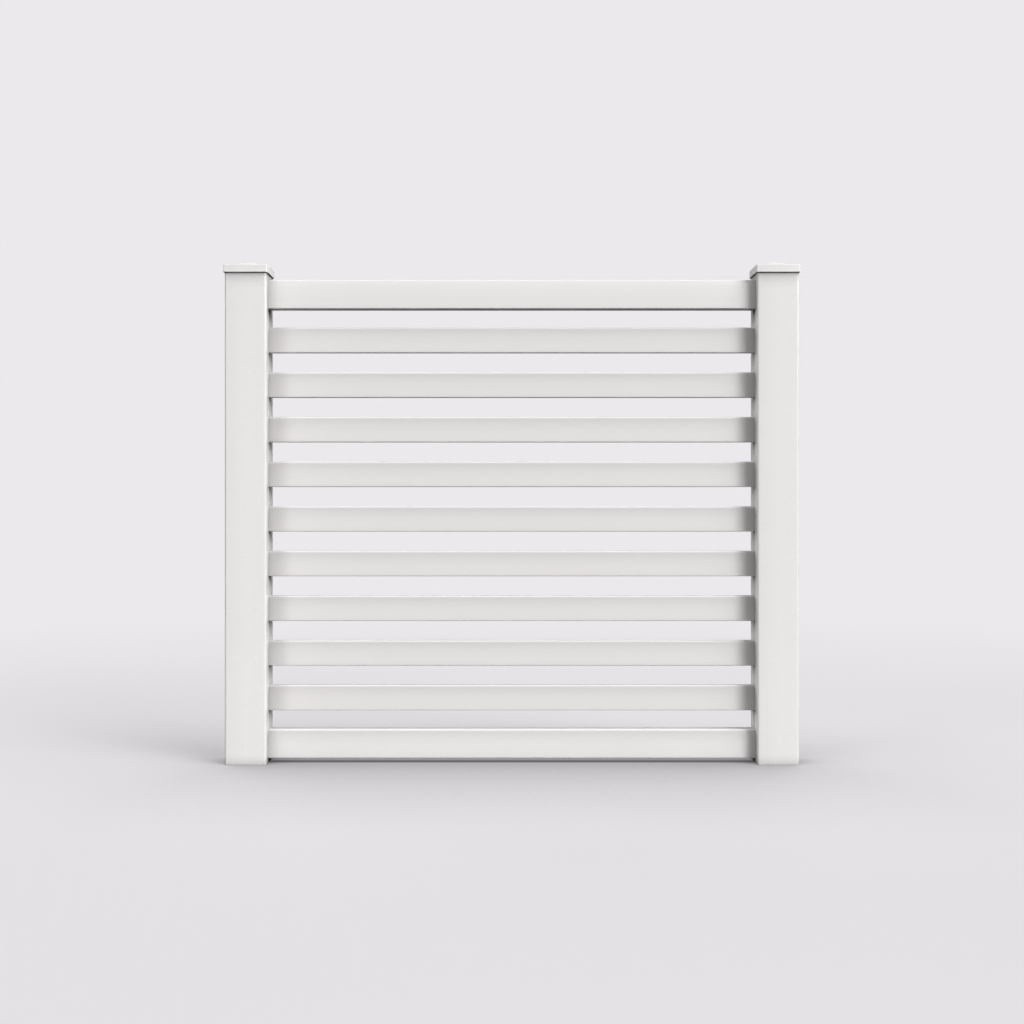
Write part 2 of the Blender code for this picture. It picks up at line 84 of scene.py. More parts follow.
# %% Colour and node helpers
def linear(hex_colour):
    """The linear RGBA of a colour such as #E8E7E5, by the curve of the sRGB standard."""
    channels = [int(hex_colour[start : start + 2], 16) / 255 for start in (1, 3, 5)]
    curve = [c / 12.92 if c <= 0.04045 else ((c + 0.055) / 1.055) ** 2.4 for c in channels]
    return (*curve, 1.0)


def add(tree, kind, settings=None, inputs=None):
    """A new shader node. An input takes a number, a colour or another node's output."""
    node = tree.nodes.new("ShaderNode" + kind)
    for name, value in (settings or {}).items():
        setattr(node, name, value)
    for name, value in (inputs or {}).items():
        if isinstance(value, bpy.types.NodeSocket):
            tree.links.new(value, node.inputs[name])
        else:
            node.inputs[name].default_value = value
    return node


def new_material(name):
    """A material with its node tree and its Principled BSDF."""
    material = bpy.data.materials.new(name)
    material.use_nodes = True
    return material, material.node_tree, material.node_tree.nodes["Principled BSDF"]


print("white as written:", [round(value, 3) for value in linear("#F5F3F2")[:3]])

# %% [markdown]
# One kind of wear and one painted shade are common to all the vinyl. The first is polish: hands and
# wind-blown sand smooth the outer edges, which then shine a little more than the faces. The Pointiness of
# the Geometry node is 0.5 on a flat face and grows where the surface turns outwards, so it can bring the
# roughness down there.
# This costs less than a bevel on every edge, and it suits metal and nylon as well.

# %% Polished edges
FIRST_POINTINESS = 0.52
FULL_POINTINESS = 0.60
EDGE_POLISH = 0.14


def polished_edges(tree, faces):
    """The roughness of the faces, brought down where the surface turns sharply outwards."""
    turn = add(tree, "NewGeometry").outputs["Pointiness"]
    limits = {"From Min": FIRST_POINTINESS, "From Max": FULL_POINTINESS, "To Max": EDGE_POLISH}
    edge = add(tree, "MapRange", inputs={"Value": turn, **limits}).outputs[0]
    return add(tree, "Math", {"operation": "SUBTRACT"}, {0: faces, 1: edge}).outputs[0]


print("polished edges lose this much roughness:", EDGE_POLISH)

# %% [markdown]
# The second is painted shade. The colour is darkened in the sheltered joints, under the caps and where the
# pickets enter the posts, which paints the shade that falls there. Ambient Occlusion can find these places,
# because it tells how much of the space over a point is free. Its normal leans upwards, so that the painted
# shade is deepest under overhangs. The free share is then set against that of a plain wall, which blocks
# some of that space itself. Nothing is clamped, because clamping each noisy sample would darken the open
# faces too.

# %% Painted shade in the joints
# The dark colour of the painted shade in the joints.
JOINT_SHADE_COLOUR = linear("#3A3938")
SHADE_LEAN = 0.8
SHADE_SAMPLES = 8


def painted_joint_shade(tree, unshaded_colour, strength, reach):
    """The unshaded colour, darkened within reach of a joint: painted shade where shade falls."""
    normal = add(tree, "NewGeometry").outputs["Normal"]
    lean = add(tree, "VectorMath", inputs={0: normal, 1: (0, 0, SHADE_LEAN)}).outputs[0]
    uplift = add(tree, "VectorMath", {"operation": "NORMALIZE"}, {0: lean}).outputs[0]
    space = {"Distance": reach, "Normal": uplift}
    free = add(tree, "AmbientOcclusion", {"samples": SHADE_SAMPLES}, space).outputs["AO"]
    facing = add(tree, "VectorMath", {"operation": "DOT_PRODUCT"}, {0: normal, 1: uplift}).outputs["Value"]
    plain_wall = add(tree, "MapRange", inputs={"Value": facing, "From Min": -1.0}).outputs[0]
    share = add(tree, "Math", {"operation": "DIVIDE"}, {0: free, 1: plain_wall}).outputs[0]
    unshaded = add(tree, "MapRange", {"clamp": False}, {"Value": share, "To Min": 1 - strength}).outputs[0]
    settings = {"data_type": "RGBA", "clamp_factor": False}
    return add(tree, "Mix", settings, {"Factor": unshaded, "A": JOINT_SHADE_COLOUR, "B": unshaded_colour}).outputs["Result"]


# The upward lean deepens the painted shade under overhangs.
print("rain leans the normal by", round(math.degrees(math.atan(SHADE_LEAN))), "degrees")

# %% [markdown]
# Rigid PVC for fences is made white with titanium dioxide, which keeps it from yellowing. It leaves the
# extrusion die with a satin gloss and faint lines along its length. PVC has an IOR of about 1.54 and a
# roughness of 0.3 to 0.4. Noise stretched along the piece draws the lines: it bends the light a little
# and varies the gloss. Real die lines are a tenth of a millimetre apart and too fine to show, so they are
# drawn wider. A second, slow noise lets the tone drift a little, as between batches of powder.

# %% Rigid PVC
PVC_IOR = 1.54
TONE_DRIFT = 220 * MILLIMETRE
NOISE_RANGE = {"From Min": 0.3, "From Max": 0.7}
GRAIN_STRENGTH = 0.25


def rigid_pvc(name, scale, height, light, shade, gloss, shade_in_joints):
    """White PVC with a grain of the given scale and height, and a tone between light and shade."""
    material, tree, shader = new_material(name)
    place = add(tree, "TexCoord").outputs["Object"]
    stretched = add(tree, "Mapping", inputs={"Vector": place, "Scale": scale}).outputs[0]
    grain = add(tree, "TexNoise", inputs={"Vector": stretched, "Scale": 1.0, "Detail": 3.0}).outputs["Fac"]
    slow = {"Vector": place, "Scale": 1 / TONE_DRIFT, "Detail": 2.0}
    drift = add(tree, "TexNoise", inputs=slow).outputs["Fac"]
    tint = {"Factor": drift, "A": linear(light), "B": linear(shade)}
    tone = add(tree, "Mix", {"data_type": "RGBA"}, tint).outputs["Result"]
    limits = {**NOISE_RANGE, "To Min": gloss[0], "To Max": gloss[1]}
    rough = add(tree, "MapRange", inputs={"Value": grain, **limits}).outputs[0]
    relief = {"Strength": GRAIN_STRENGTH, "Distance": height, "Height": grain}
    bump = add(tree, "Bump", inputs=relief).outputs[0]
    # The base colour carries painted shade in the joints.
    tree.links.new(painted_joint_shade(tree, tone, *shade_in_joints), shader.inputs["Base Color"])
    tree.links.new(polished_edges(tree, rough), shader.inputs["Roughness"])
    tree.links.new(bump, shader.inputs["Normal"])
    shader.inputs["IOR"].default_value = PVC_IOR
    return material


print("PVC reflects this share straight back:", round(((PVC_IOR - 1) / (PVC_IOR + 1)) ** 2, 3))

# %% [markdown]
# Posts stand, so their die lines run up. Those of rails and pickets run across. All three are one white
# vinyl:
# the pickets' colour, and a little the rails', is made darker than the posts', as measured, as painted
# shade.
# The measured shading is a deep dark line under the caps and paler, wider shades at the ends of the
# pickets, so each extrusion has its own strength and reach of painted shade. A strength over 1 reaches the
# full painted shade before the joint is quite closed.

# %% Extruded PVC
DIE_LINE_SPACING = 1.5 * MILLIMETRE
DIE_LINE_LENGTH = 900 * MILLIMETRE
DIE_LINE_HEIGHT = 0.02 * MILLIMETRE
DIE_GLOSS = (0.32, 0.40)

# Strength and reach of the painted shade in the joints of each extrusion.
POST_JOINT_SHADE = (1.45, 48 * MILLIMETRE)
RAIL_JOINT_SHADE = (0.7, 32 * MILLIMETRE)
PICKET_JOINT_SHADE = (0.72, 70 * MILLIMETRE)

across, along = 1 / DIE_LINE_SPACING, 1 / DIE_LINE_LENGTH
upright, level = (across, across, along), (along, across, across)
# The posts' white is the vinyl's own. The rails' is a little darker and the pickets' darker still, painted
# shade of their recess between the posts.
pvc_posts = rigid_pvc(
    "extruded_pvc_posts", upright, DIE_LINE_HEIGHT, "#F5F3F2", "#F1EFEE", DIE_GLOSS, POST_JOINT_SHADE
)
pvc_rails = rigid_pvc(
    "extruded_pvc_rails", level, DIE_LINE_HEIGHT, "#F3F1F0", "#EFEDEC", DIE_GLOSS, RAIL_JOINT_SHADE
)
pvc_pickets = rigid_pvc(
    "extruded_pvc_pickets", level, DIE_LINE_HEIGHT, "#EFEDEC", "#ECE9E8", DIE_GLOSS, PICKET_JOINT_SHADE
)
print("extruded PVC:", pvc_posts.name, pvc_rails.name, pvc_pickets.name)

# %% [markdown]
# The caps are injection moulded from the same white PVC. The mould is eroded by sparks, which leaves an
# even, very fine matt grain instead of lines. The grain is drawn at 0.8 mm, coarser than the real one.

# %% Moulded PVC
MOULD_GRAIN = 0.8 * MILLIMETRE
GRAIN_HEIGHT = 0.01 * MILLIMETRE
MOULD_GLOSS = (0.28, 0.34)
# Strength and reach of the painted shade under and around the caps.
CAP_JOINT_SHADE = (1.23, 32 * MILLIMETRE)

even = (1 / MOULD_GRAIN,) * 3
pvc_moulded = rigid_pvc(
    "moulded_pvc_caps", even, GRAIN_HEIGHT, "#F5F3F2", "#F1EFEE", MOULD_GLOSS, CAP_JOINT_SHADE
)
print("moulded PVC:", pvc_moulded.name)

# %% [markdown]
# Steel that is hot dipped in zinc shows spangle: flat crystals some 9 mm across, each with its own tilt
# and gloss. Voronoi cells are the usual way to draw it, with one random value for each cell. Noise adds
# the finer grain within a crystal. A metal keeps the default IOR.

# %% Zinc on steel
ZINC_GRAIN = 1.2 * MILLIMETRE
ZINC_GRAIN_HEIGHT = 0.02 * MILLIMETRE
ZINC_STRENGTH = 0.4


def plated_steel(name, patch, dull, bright, smooth, rough):
    """Steel whose zinc coat changes tone and gloss from one patch to the next."""
    material, tree, shader = new_material(name)
    place = add(tree, "TexCoord").outputs["Object"]
    crystal = add(tree, "TexVoronoi", inputs={"Vector": place, "Scale": 1 / patch}).outputs["Color"]
    value = add(tree, "SeparateColor", inputs={"Color": crystal}).outputs[0]
    tint = {"Factor": value, "A": linear(dull), "B": linear(bright)}
    tone = add(tree, "Mix", {"data_type": "RGBA"}, tint).outputs["Result"]
    gloss = add(tree, "MapRange", inputs={"Value": value, "To Min": smooth, "To Max": rough}).outputs[0]
    fine = {"Vector": place, "Scale": 1 / ZINC_GRAIN, "Detail": 4.0}
    grain = add(tree, "TexNoise", inputs=fine).outputs["Fac"]
    relief = {"Strength": ZINC_STRENGTH, "Distance": ZINC_GRAIN_HEIGHT, "Height": grain}
    bump = add(tree, "Bump", inputs=relief).outputs[0]
    tree.links.new(tone, shader.inputs["Base Color"])
    tree.links.new(polished_edges(tree, gloss), shader.inputs["Roughness"])
    tree.links.new(bump, shader.inputs["Normal"])
    shader.inputs["Metallic"].default_value = 1.0
    return material


print(f"grain within a crystal: {ZINC_GRAIN * 1000:.1f} mm wide")

# %% [markdown]
# The base plates, cores and stiffeners are hot dipped. The screws are electroplated, which leaves a
# thinner, brighter and more even coat, so their patches are smaller and closer in tone.

# %% Galvanised steel and plated screws
SPANGLE = 9 * MILLIMETRE
PLATE_PATCH = 2.5 * MILLIMETRE

galvanised = plated_steel("hot_dip_galvanised_steel", SPANGLE, "#A4A9AC", "#C2C6C8", 0.34, 0.52)
zinc_plated = plated_steel("zinc_plated_screws", PLATE_PATCH, "#C3C4C4", "#D2D1CB", 0.24, 0.34)
print("plated steel:", galvanised.name, zinc_plated.name)

# %% [markdown]
# The weld bead is bare metal with ripples where each drop froze, some 1.5 mm apart, and a straw to blue
# tint from the heat. A ring wave, bent by its own distortion, draws the ripples. Its rings are about
# 0.3 m apart at a scale of 1, and the scale is set from that.

# %% Bare weld metal
RIPPLE = 1.5 * MILLIMETRE
WAVE_AT_SCALE_ONE = 0.3
RIPPLE_HEIGHT = 0.2 * MILLIMETRE
RIPPLE_STRENGTH = 0.6
HEAT_PATCH = 12 * MILLIMETRE

weld_metal, tree, shader = new_material("bare_weld_metal")
place = add(tree, "TexCoord").outputs["Object"]
patches = {"Vector": place, "Scale": 1 / HEAT_PATCH, "Detail": 2.0}
heat = add(tree, "TexNoise", inputs=patches).outputs["Fac"]
rings = {"wave_type": "RINGS", "rings_direction": "Z"}
waves = {"Vector": place, "Scale": WAVE_AT_SCALE_ONE / RIPPLE, "Distortion": 3.0, "Detail": 2.0}
ripple = add(tree, "TexWave", rings, waves).outputs["Fac"]
relief = {"Strength": RIPPLE_STRENGTH, "Distance": RIPPLE_HEIGHT, "Height": ripple}
bump = add(tree, "Bump", inputs=relief).outputs[0]
gloss = add(tree, "MapRange", inputs={"Value": ripple, "To Min": 0.38, "To Max": 0.58}).outputs[0]
tint = {"Factor": heat, "A": linear("#8C857A"), "B": linear("#6C7480")}
tone = add(tree, "Mix", {"data_type": "RGBA"}, tint).outputs["Result"]
tree.links.new(tone, shader.inputs["Base Color"])
tree.links.new(gloss, shader.inputs["Roughness"])
tree.links.new(bump, shader.inputs["Normal"])
shader.inputs["Metallic"].default_value = 1.0
print("weld:", weld_metal.name)

# %% [markdown]
# The collars are moulded in black glass-filled nylon. The glass fibres near the skin scatter light, so
# the black is grey and mottled from close by. Nylon has an IOR of about 1.53 and a roughness near 0.5.

# %% Black nylon
NYLON_IOR = 1.53
FIBRE_MOTTLE = 0.6 * MILLIMETRE
MOTTLE_HEIGHT = 0.03 * MILLIMETRE
MOTTLE_STRENGTH = 0.3

black_nylon, tree, shader = new_material("glass_filled_black_nylon")
place = add(tree, "TexCoord").outputs["Object"]
mottle = {"Vector": place, "Scale": 1 / FIBRE_MOTTLE, "Detail": 5.0}
fibres = add(tree, "TexNoise", inputs=mottle).outputs["Fac"]
gloss = add(tree, "MapRange", inputs={"Value": fibres, "To Min": 0.42, "To Max": 0.60}).outputs[0]
relief = {"Strength": MOTTLE_STRENGTH, "Distance": MOTTLE_HEIGHT, "Height": fibres}
bump = add(tree, "Bump", inputs=relief).outputs[0]
tint = {"Factor": fibres, "A": linear("#161617"), "B": linear("#2B2B2D")}
tone = add(tree, "Mix", {"data_type": "RGBA"}, tint).outputs["Result"]
tree.links.new(tone, shader.inputs["Base Color"])
tree.links.new(polished_edges(tree, gloss), shader.inputs["Roughness"])
tree.links.new(bump, shader.inputs["Normal"])
shader.inputs["IOR"].default_value = NYLON_IOR
print("collars:", black_nylon.name)

# %% [markdown]
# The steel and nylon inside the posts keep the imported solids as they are. Their edges are plain and
# hidden, so only their finish changes. Each solid is found by the ending of its name.

# %% Finishes for the hidden hardware
HIDDEN_FINISHES = {
    "base_plate": galvanised,
    "core_tube": galvanised,
    "stiffener": galvanised,
    "core_weld": weld_metal,
    "collar": black_nylon,
    "screw_1": zinc_plated,
    "screw_2": zinc_plated,
}
finished_nodes = 0
for name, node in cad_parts.items():
    for ending, material in HIDDEN_FINISHES.items():
        if name.endswith(ending):
            node.data.materials.clear()
            node.data.materials.append(material)
            finished_nodes += 1
print("solids with a new finish:", finished_nodes)

# %% [markdown]
# An extruded piece has the same section all along, so it is drawn as a section that is swept. A section
# is a closed loop of points with round corners, whose front and back may be hollow or crowned by a few
# millimetres. A hollow piece takes two loops, one for the outside and one for the inside.

# %% Sections
CORNER_STEPS = 8
FACE_STEPS = 16


def arc(centre_u, centre_v, radius, quarter):
    """The points of a quarter circle, with the quarters counted anticlockwise from the right."""
    turns = [(quarter + step / CORNER_STEPS) * math.pi / 2 for step in range(CORNER_STEPS + 1)]
    return [(centre_u + radius * math.cos(turn), centre_v + radius * math.sin(turn)) for turn in turns]


def section(low, high, low_radius, high_radius, half_depth):
    """A loop from low to high, whose front and back lie half_depth(level) from the middle."""
    foot, head = low + low_radius, high - high_radius
    levels = [foot + (head - foot) * step / FACE_STEPS for step in range(1, FACE_STEPS)]
    loop = arc(half_depth(foot) - low_radius, foot, low_radius, -1)
    loop += [(half_depth(level), level) for level in levels]
    loop += arc(half_depth(head) - high_radius, head, high_radius, 0)
    loop += arc(high_radius - half_depth(head), head, high_radius, 1)
    loop += [(-half_depth(level), level) for level in reversed(levels)]
    loop += arc(low_radius - half_depth(foot), foot, low_radius, 2)
    return loop


print("points in a section:", 4 * (CORNER_STEPS + 1) + 2 * (FACE_STEPS - 1))

# %% [markdown]
# To sweep a section, its points are copied at each station along the piece, and a band of faces bridges
# one ring of points and the next. Plain mesh code does this here, because a bevelled curve leaves little
# say over the inner wall and the ends. Filling the edges of both loops at once leaves the inner one open,
# as a sawn end is. Each finished mesh is shaded smooth, except at its sharp edges, and the imported solid
# that it stands for is hidden.

# %% Sweep and finish helpers
SHARP_DEGREES = 35


def bridge(bm, lower, upper):
    """The band of faces between two rings of equal counts of points."""
    followers = list(range(1, len(lower))) + [0]
    for here, after in enumerate(followers):
        bm.faces.new((lower[here], lower[after], upper[after], upper[here]))


def sweep(bm, loops, stations, lay):
    """The first loop swept through the stations, with the others as holes right through it."""
    rims = {0: [], len(stations) - 1: []}
    for loop in loops:
        rings = [[bm.verts.new(lay(u, v, w)) for u, v in loop] for w in stations]
        for lower, upper in zip(rings, rings[1:]):
            bridge(bm, lower, upper)
        for end, edges in rims.items():
            ring = rings[end]
            edges += [bm.edges.get(pair) for pair in zip(ring, ring[1:] + ring[:1])]
    for edges in rims.values():
        bmesh.ops.triangle_fill(bm, edges=edges, use_beauty=True)


def finished(bm, name, material, replaced):
    """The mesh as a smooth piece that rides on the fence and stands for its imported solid."""
    bmesh.ops.recalc_face_normals(bm, faces=bm.faces)
    mesh = bpy.data.meshes.new(name)
    bm.to_mesh(mesh)
    bm.free()
    mesh.materials.append(material)
    mesh.shade_smooth()
    mesh.set_sharp_from_angle(angle=math.radians(SHARP_DEGREES))
    piece = bpy.data.objects.new(name, mesh)
    bpy.context.scene.collection.objects.link(piece)
    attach(piece, "root")
    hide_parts(replaced)
    return piece


print("edges stay sharp from this angle on:", SHARP_DEGREES, "degrees")

# %% [markdown]
# The rails are 51 by 89 mm and the pickets 22 by 78 mm. The faces of the pickets and the bottom rail are
# a little hollow below the upper edge and come back gently towards the foot, because the thick corners
# cool last and pull the wall in. The hollow shows as a soft darker band. The top rail is crowned instead,
# so that rain runs off it, and its face is brightest along the top. All lower edges are tight. These
# forms are read from the shading in the photo.

# %% Profiles of rails and pickets
LOWER_EDGE_RADIUS = 2.6 * MILLIMETRE
LEAST_RADIUS = 1.0 * MILLIMETRE
# Depth, upper edge radius, crown at the head, depth of the hollow, and how fast both fade downwards.
RAIL_FORMS = {
    "top_rail": (RAIL_DEPTH, 4.0 * MILLIMETRE, 3.0 * MILLIMETRE, 0.0, 4),
    "bottom_rail": (RAIL_DEPTH, 4.0 * MILLIMETRE, 0.0, 1.2 * MILLIMETRE, 3),
}
PICKET_FORM = (PICKET_DEPTH, 4.5 * MILLIMETRE, 0.0, 1.5 * MILLIMETRE, 2)


def profile(name, outset):
    """The section of a rail or picket, grown by the outset on all sides."""
    low, high = (corner.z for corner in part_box(name))
    depth, high_radius, crown, hollow, fall = RAIL_FORMS.get(name, PICKET_FORM)
    head = high - high_radius
    drop = head - low - LOWER_EDGE_RADIUS
    # The largest value of down * (1 - down) ** fall, which brings the hollow to its given depth.
    deepest = fall**fall / (fall + 1) ** (fall + 1)

    def half_depth(level):
        down = min(max((head - level) / drop, 0), 1)
        return depth / 2 + outset - (crown + hollow * down / deepest) * (1 - down) ** fall

    low_radius = max(LOWER_EDGE_RADIUS + outset, LEAST_RADIUS)
    high_radius = max(high_radius + outset, LEAST_RADIUS)
    return section(low - outset, high + outset, low_radius, high_radius, half_depth)


half_depths = {name: round(max(profile(name, 0))[0], 4) for name in ("bottom_rail", "picket_1")}
print("half depths:", half_depths)

# %% [markdown]
# Rails and pickets are cut to one length and reach into the posts at both ends, where they snap in. The
# surface runs from end to end in one sweep, with stations at the posts' faces and in the middle so that
# no face gets very long. The same loop moved in by the wall makes the inside, so the walls are as thick
# as the die makes them.


# %% Rails and pickets
def member(name, wall, material):
    """A hollow rail or picket in place, with its ends inside the posts."""
    bm = bmesh.new()
    ends = (-member_half_length, -clear_opening / 2, 0, clear_opening / 2, member_half_length)
    sweep(bm, [profile(name, 0), profile(name, -wall)], ends, lambda u, v, w: (w, u, v))
    return finished(bm, name + "_skin", material, name)


members = [member(rail, RAIL_WALL, pvc_rails) for rail in RAIL_FORMS]
members += [member(picket, PICKET_WALL, pvc_pickets) for picket in PICKETS]
print("rails and pickets:", len(members))

# %% [markdown]
# Posts and caps have round corners and are widest in one place and narrower in another, so a sweep of
# one section doesn't fit them. They are made as a stack of level rings with bands of faces between them.
# The rings of a post go up the outside, over the rim and down the inside to the first ring again. Those
# of a cap begin under its ceiling and end on its top, and these two rings are filled.


# %% Ring and stack helpers
def rounded_square(middle_x, half, radius, level):
    """A level ring with round corners, half its side away from the middle."""
    inset = half - radius
    ring = []
    for quarter, (side_x, side_y) in enumerate(((1, 1), (-1, 1), (-1, -1), (1, -1))):
        ring += [(middle_x + u, v, level) for u, v in arc(side_x * inset, side_y * inset, radius, quarter)]
    return ring


def stack(bm, rings, closed=True):
    """Rings bridged one to the next. The last meets the first, or both ends are filled."""
    made = [[bm.verts.new(point) for point in ring] for ring in rings]
    for lower, upper in zip(made, made[1:]):
        bridge(bm, lower, upper)
    if closed:
        bridge(bm, made[-1], made[0])
    else:
        for end in (made[0], made[-1]):
            bm.faces.new(end)


print("points in a ring:", 4 * (CORNER_STEPS + 1))

# %% [markdown]
# The inner face of each post is routed with one hole for each rail and picket. The holes are made by a
# Boolean, because the router cuts them in the same way: through a finished wall. Each hole is the piece's
# own section, grown by the play between them. The Boolean works on objects, so both meshes become objects
# for a moment, and only the result is kept.


# %% Routing
def cut(bm, cutter):
    """The first mesh with the second one cut out of it, as a new bmesh."""
    bodies = []
    for part in (bm, cutter):
        bmesh.ops.recalc_face_normals(part, faces=part.faces)
        mesh = bpy.data.meshes.new("blank")
        part.to_mesh(mesh)
        part.free()
        bodies.append(bpy.data.objects.new("blank", mesh))
        bpy.context.scene.collection.objects.link(bodies[-1])
    modifier = bodies[0].modifiers.new("routed", "BOOLEAN")
    modifier.operation = "DIFFERENCE"
    modifier.solver = "EXACT"
    modifier.object = bodies[1]
    result = bodies[0].evaluated_get(bpy.context.evaluated_depsgraph_get())
    routed = bmesh.new()
    routed.from_mesh(result.to_mesh())
    result.to_mesh_clear()
    for body in bodies:
        bpy.data.objects.remove(body, do_unlink=True)
    return routed


print("holes in each post:", len(RAIL_FORMS) + len(PICKETS))

# %% [markdown]
# A post is a square tube with round corners, open at both ends. Its foot is sawn, and the sharp edge is
# eased a little. One stack of five rings gives the tube, and eleven short sweeps through the inner wall
# give the cutter. They start a few millimetres outside the wall and end a few millimetres behind it,
# because a Boolean is uncertain where two faces lie in one plane.

# %% Posts
POST_CORNER_RADIUS = 6.5 * MILLIMETRE
POST_INNER_RADIUS = 2.7 * MILLIMETRE
POST_FOOT_EASING = 0.6 * MILLIMETRE
CUT_OVERRUN = 4.0 * MILLIMETRE


def post(side, direction):
    """A hollow post with its routed holes."""
    name = side + "_post"
    low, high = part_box(name)
    half, eased = post_side / 2, post_side / 2 - POST_FOOT_EASING

    def ring(half_side, radius, level):
        return rounded_square(direction * post_middle_x, half_side, radius, level)

    bm = bmesh.new()
    rings = [
        ring(half - POST_WALL, POST_INNER_RADIUS, low.z),
        ring(eased, POST_CORNER_RADIUS - POST_FOOT_EASING, low.z),
        ring(half, POST_CORNER_RADIUS, low.z + POST_FOOT_EASING),
        ring(half, POST_CORNER_RADIUS, high.z),
        ring(half - POST_WALL, POST_INNER_RADIUS, high.z),
    ]
    stack(bm, rings)
    near = direction * (clear_opening / 2 - CUT_OVERRUN)
    far = direction * (clear_opening / 2 + POST_WALL + CUT_OVERRUN)
    holes = bmesh.new()
    for hole in (*RAIL_FORMS, *PICKETS):
        sweep(holes, [profile(hole, ROUTED_GAP)], (near, far), lambda u, v, w: (w, u, v))
    return finished(cut(bm, holes), name + "_skin", pvc_posts, name)


posts = [post(side, direction) for side, direction in SIDES.items()]
print("faces of each post:", [len(piece.data.polygons) for piece in posts])

# %% [markdown]
# The caps are moulded. A skirt with crisp corners and a small lip stands outside the post, and a ledge
# inside it sits over the post's rim, with a slight play. Above the skirt the roof is nearly level and
# sweeps up to a small level top, as the photo's outline shows. The sweep is a cubic curve, so that it
# starts level and ends steep. A mould doesn't fill knife edges, so the upper edge and the lip are short
# arcs of rings.

# %% Post caps
CAP_WALL = 3.5 * MILLIMETRE
CAP_PLAY = 0.3 * MILLIMETRE
CAP_CORNER_RADIUS = 4.0 * MILLIMETRE
CAP_EDGE_RADIUS = 2.2 * MILLIMETRE
CAP_LIP_HEIGHT = 3.0 * MILLIMETRE
CAP_LIP_FLARE = 0.6 * MILLIMETRE
CAP_LIP_DROP = 0.7 * MILLIMETRE
CAP_LIP_RADIUS = 0.3 * MILLIMETRE
CAP_SHOULDER_LIFT = 8.1 * MILLIMETRE
CAP_RISE = 12.5 * MILLIMETRE
CAP_TOP_SIDE = 51.0 * MILLIMETRE
CAP_TOP_EASING = 3.0 * MILLIMETRE
CAP_TOP_DIP = 0.3 * MILLIMETRE
CAP_SWEEP = 3
CAP_SWEEP_STEPS = 8


def cap(side, direction):
    """A hollow cap: rings from its ceiling down to the hem, and up the outside to its level top."""
    name = side + "_post_cap"
    low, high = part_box(name)
    half_out = (high.x - low.x) / 2
    half_in = half_out - CAP_WALL
    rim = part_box(side + "_post")[1].z
    ledge_half = post_side / 2 - POST_WALL
    roof_half, top_half = half_out - CAP_EDGE_RADIUS, CAP_TOP_SIDE / 2
    hem, shoulder = low.z - CAP_LIP_DROP, rim + CAP_SHOULDER_LIFT

    def ring(half, level, outset=0):
        return rounded_square(direction * post_middle_x, half + outset, CAP_CORNER_RADIUS + outset, level)

    def roof(half):
        return shoulder + CAP_RISE * ((roof_half - half) / (roof_half - top_half)) ** CAP_SWEEP

    top = roof(top_half)
    rings = [
        ring(top_half - CAP_WALL, top - CAP_WALL),
        ring(ledge_half, roof(ledge_half) - CAP_WALL),
        ring(ledge_half, rim + CAP_PLAY),
        ring(half_in, rim + CAP_PLAY),
        ring(half_in, hem),
    ]
    lip = arc(CAP_LIP_FLARE - CAP_LIP_RADIUS, CAP_LIP_RADIUS, CAP_LIP_RADIUS, 3)
    rings += [ring(half_out, hem + rise, out) for out, rise in lip]
    rings.append(ring(half_out + CAP_LIP_FLARE / 4, hem + CAP_LIP_HEIGHT / 2))
    rings.append(ring(half_out, hem + CAP_LIP_HEIGHT))
    edge = arc(-CAP_EDGE_RADIUS, -CAP_EDGE_RADIUS, CAP_EDGE_RADIUS, 0)
    rings += [ring(half_out, shoulder + rise, out) for out, rise in edge]
    for step in range(1, CAP_SWEEP_STEPS):
        half = roof_half + (top_half + CAP_EDGE_RADIUS - roof_half) * step / CAP_SWEEP_STEPS
        rings.append(ring(half, roof(half)))
    rings.append(ring(top_half + CAP_EDGE_RADIUS / 2, top - CAP_EDGE_RADIUS))
    rings.append(ring(top_half - CAP_EDGE_RADIUS / 2, top - CAP_TOP_DIP))
    rings.append(ring(top_half - CAP_TOP_EASING, top))
    bm = bmesh.new()
    stack(bm, rings, closed=False)
    return finished(bm, name + "_skin", pvc_moulded, name)


caps = [cap(side, direction) for side, direction in SIDES.items()]
print("faces of each cap:", [len(piece.data.polygons) for piece in caps])

# %% [markdown]
# The fence stands on the pale paper floor of a studio. The floor takes the shadows of the lamps and
# darkens close to the fence, where the fence hides part of the room. Ambient Occlusion draws this second,
# soft shadow, because the room itself isn't modelled. Only the camera sees the floor this pale: the
# undersides in the photo are dark, which tells that the real ground returned little light to the fence.

# %% Floor
BACKGROUND = linear("#EBE9EC")
FLOOR_FOR_FENCE = linear("#595859")
FLOOR_FOR_CAMERA = linear("#918F92")
FLOOR_HALF_SIDE = 60
FLOOR_ROUGHNESS = 0.9
FLOOR_GLOW = 0.58
CONTACT_REACH = 1.0
CONTACT_SAMPLES = 16
DARKEST_CONTACT = 0.08

floor_mesh = bpy.data.meshes.new("floor")
bm = bmesh.new()
bmesh.ops.create_grid(bm, x_segments=1, y_segments=1, size=FLOOR_HALF_SIDE)
bm.to_mesh(floor_mesh)
bm.free()
floor = bpy.data.objects.new("floor", floor_mesh)
bpy.context.scene.collection.objects.link(floor)

